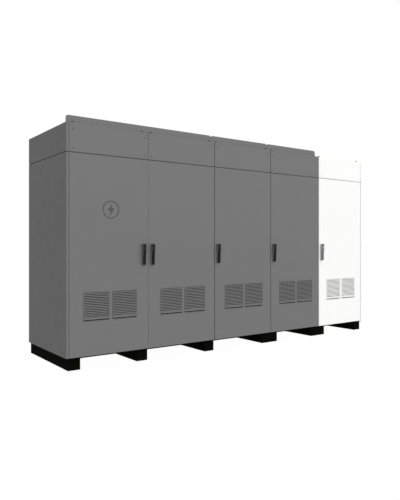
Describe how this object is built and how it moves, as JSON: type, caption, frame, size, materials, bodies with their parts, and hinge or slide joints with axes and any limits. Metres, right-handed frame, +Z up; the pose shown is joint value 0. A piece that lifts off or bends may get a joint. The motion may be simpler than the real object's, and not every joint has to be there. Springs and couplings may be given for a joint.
{
  "type": "battery and inverter cabinet row",
  "caption": "Floor-standing row of tall sheet-metal battery and inverter cabinets on plinth beams, with hinged louvred doors, swing handles and roof lifting rails.",
  "frame": {"origin": "on the floor, at the centre of the row's outline", "axes": "+X along the row to the right as seen from the front, -Y out of the doors, +Z up"},
  "size_m": [4.052, 1.048, 2.26],
  "materials": {
    "grey_paint": "fine-textured powder coat",
    "white_paint": "fine-textured powder coat",
    "black_paint": "matt powder coat",
    "handle_grey": "moulded satin",
    "handle_black": "moulded satin",
    "handle_light": "moulded satin",
    "handle_mid": "moulded satin",
    "zinc_steel": "zinc plated",
    "module_case": "fine-textured black coat",
    "device_case": "light grey powder coat",
    "panel_case": "light grey moulded",
    "switch_red": "moulded satin"
  },
  "bodies": {
    "cabinets": {"carcass_main": "grey_paint", "top_box_main": "grey_paint", "lifting_rail_main": "grey_paint", "carcass_smart_load": "grey_paint", "top_box_smart_load": "grey_paint", "lifting_rail_smart_load": "grey_paint", "carcass_inverter_1": "grey_paint", "top_box_inverter_1": "grey_paint", "lifting_rail_inverter_1": "grey_paint", "carcass_inverter_2": "white_paint", "top_box_inverter_2": "white_paint", "lifting_rail_inverter_2": "white_paint", "side_cover_left": "grey_paint", "side_cover_right": "white_paint", "plinth_beam_1": "black_paint", "plinth_beam_2": "black_paint", "plinth_beam_3": "black_paint", "plinth_beam_4": "black_paint", "plinth_beam_5": "black_paint", "plinth_beam_6": "black_paint", "fascia_1": "grey_paint", "fascia_2": "grey_paint", "fascia_3": "grey_paint", "fascia_4": "grey_paint", "fascia_5": "white_paint", "battery_rack": "zinc_steel", "battery_module_1": "module_case", "battery_module_2": "module_case", "battery_module_3": "module_case", "battery_module_4": "module_case", "main_switch_panel": "panel_case", "load_panel": "panel_case", "inverter_module_1": "device_case", "inverter_module_2": "device_case"},
    "door_1": {"door_1": "grey_paint", "vent_grilles_1": "grey_paint", "handle_dish_1": "handle_grey"},
    "handle_turn_1": {"handle_spindle_1": "zinc_steel"},
    "handle_lever_1": {"handle_lever_1": "handle_black"},
    "door_2": {"door_2": "grey_paint", "vent_grilles_2": "grey_paint", "handle_dish_2": "handle_grey"},
    "handle_turn_2": {"handle_spindle_2": "zinc_steel"},
    "handle_lever_2": {"handle_lever_2": "handle_black"},
    "door_3": {"door_3": "grey_paint", "vent_grilles_3": "grey_paint", "handle_dish_3": "handle_grey"},
    "handle_turn_3": {"handle_spindle_3": "zinc_steel"},
    "handle_lever_3": {"handle_lever_3": "handle_black"},
    "door_4": {"door_4": "grey_paint", "vent_grilles_4": "grey_paint", "handle_dish_4": "handle_grey"},
    "handle_turn_4": {"handle_spindle_4": "zinc_steel"},
    "handle_lever_4": {"handle_lever_4": "handle_black"},
    "door_5": {"door_5": "white_paint", "vent_grilles_5": "white_paint", "handle_dish_5": "handle_light"},
    "handle_turn_5": {"handle_spindle_5": "zinc_steel"},
    "handle_lever_5": {"handle_lever_5": "handle_mid"},
    "main_switch": {"main_switch_handle": "switch_red"}
  },
  "joints": [
    {"name": "door_1_hinge", "type": "hinge", "parent": "cabinets", "child": "door_1", "pos_m": [-1.983, -0.475, 1], "axis": [0, 0, -1], "range_deg": [0, 110]},
    {"name": "handle_1_turn", "type": "hinge", "parent": "door_1", "child": "handle_turn_1", "pos_m": [-1.257, -0.484, 1.085], "axis": [0, 1, 0], "range_deg": [0, 90]},
    {"name": "handle_1_tilt", "type": "hinge", "parent": "handle_turn_1", "child": "handle_lever_1", "pos_m": [-1.257, -0.5209, 1.1105], "axis": [-1, 0, 0], "range_deg": [0, 35]},
    {"name": "door_2_hinge", "type": "hinge", "parent": "cabinets", "child": "door_2", "pos_m": [-0.417, -0.475, 1], "axis": [0, 0, 1], "range_deg": [0, 110]},
    {"name": "handle_2_turn", "type": "hinge", "parent": "door_2", "child": "handle_turn_2", "pos_m": [-1.16, -0.484, 1.085], "axis": [0, -1, 0], "range_deg": [0, 90]},
    {"name": "handle_2_tilt", "type": "hinge", "parent": "handle_turn_2", "child": "handle_lever_2", "pos_m": [-1.16, -0.5209, 1.1105], "axis": [-1, 0, 0], "range_deg": [0, 35]},
    {"name": "door_3_hinge", "type": "hinge", "parent": "cabinets", "child": "door_3", "pos_m": [0.383, -0.475, 1], "axis": [0, 0, 1], "range_deg": [0, 110]},
    {"name": "handle_3_turn", "type": "hinge", "parent": "door_3", "child": "handle_turn_3", "pos_m": [-0.36, -0.484, 1.085], "axis": [0, -1, 0], "range_deg": [0, 90]},
    {"name": "handle_3_tilt", "type": "hinge", "parent": "handle_turn_3", "child": "handle_lever_3", "pos_m": [-0.36, -0.5209, 1.1105], "axis": [-1, 0, 0], "range_deg": [0, 35]},
    {"name": "door_4_hinge", "type": "hinge", "parent": "cabinets", "child": "door_4", "pos_m": [1.183, -0.475, 1], "axis": [0, 0, 1], "range_deg": [0, 110]},
    {"name": "handle_4_turn", "type": "hinge", "parent": "door_4", "child": "handle_turn_4", "pos_m": [0.44, -0.484, 1.085], "axis": [0, -1, 0], "range_deg": [0, 90]},
    {"name": "handle_4_tilt", "type": "hinge", "parent": "handle_turn_4", "child": "handle_lever_4", "pos_m": [0.44, -0.5209, 1.1105], "axis": [-1, 0, 0], "range_deg": [0, 35]},
    {"name": "door_5_hinge", "type": "hinge", "parent": "cabinets", "child": "door_5", "pos_m": [1.983, -0.475, 1], "axis": [0, 0, 1], "range_deg": [0, 110]},
    {"name": "handle_5_turn", "type": "hinge", "parent": "door_5", "child": "handle_turn_5", "pos_m": [1.24, -0.484, 1.085], "axis": [0, -1, 0], "range_deg": [0, 90]},
    {"name": "handle_5_tilt", "type": "hinge", "parent": "handle_turn_5", "child": "handle_lever_5", "pos_m": [1.24, -0.5209, 1.1105], "axis": [-1, 0, 0], "range_deg": [0, 35]},
    {"name": "main_switch_turn", "type": "hinge", "parent": "cabinets", "child": "main_switch", "pos_m": [-0.8, 0.2837, 1.36], "axis": [0, 1, 0], "range_deg": [0, 90]}
  ]
}
